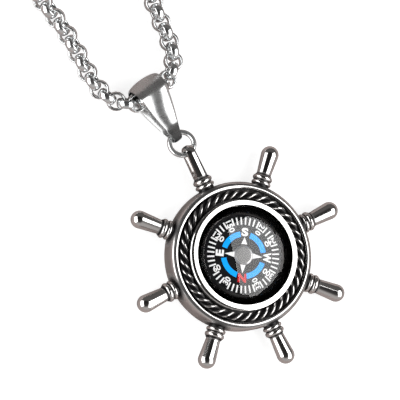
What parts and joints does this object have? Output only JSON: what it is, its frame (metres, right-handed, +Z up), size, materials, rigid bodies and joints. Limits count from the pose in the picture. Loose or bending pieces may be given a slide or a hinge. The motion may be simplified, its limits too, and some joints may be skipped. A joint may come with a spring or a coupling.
{
  "type": "compass pendant necklace",
  "caption": "Ship's wheel pendant with a round liquid-filled compass in a rope-edged rim, hung by a ring and a tapered bail on a round-link chain with a clasp.",
  "frame": {"origin": "centre of the wheel's flat back face, which lies on the surface", "axes": "+Z up out of the dial, +Y from the wheel towards the hoop, the bail and the chain"},
  "size_m": [0.0906, 0.2768, 0.0072],
  "materials": {
    "polished_steel": "mirror-polished stainless steel, blackened in the recesses",
    "antiqued_steel": "polished on the high points and blackened in the grooves",
    "chain_steel": "mirror-polished stainless steel",
    "black_plastic": "smooth black moulding",
    "clear_plastic": "clear glossy plastic over oil",
    "dial_print": "black card printed in white, red and blue"
  },
  "bodies": {
    "necklace": {"wheel": "polished_steel", "rope_border": "antiqued_steel", "capsule_base": "black_plastic", "capsule_dome": "clear_plastic", "jump_ring": "polished_steel", "bail": "polished_steel", "chain_left": "chain_steel", "chain_right": "chain_steel", "clasp_ring": "chain_steel", "clasp": "chain_steel", "end_ring": "chain_steel"},
    "card": {"compass_card": "dial_print"}
  },
  "joints": [
    {"name": "card_spin", "type": "hinge", "parent": "necklace", "child": "card", "pos_m": [0, 0, 0.0049], "axis": [0, 0, 1], "continuous": true}
  ]
}
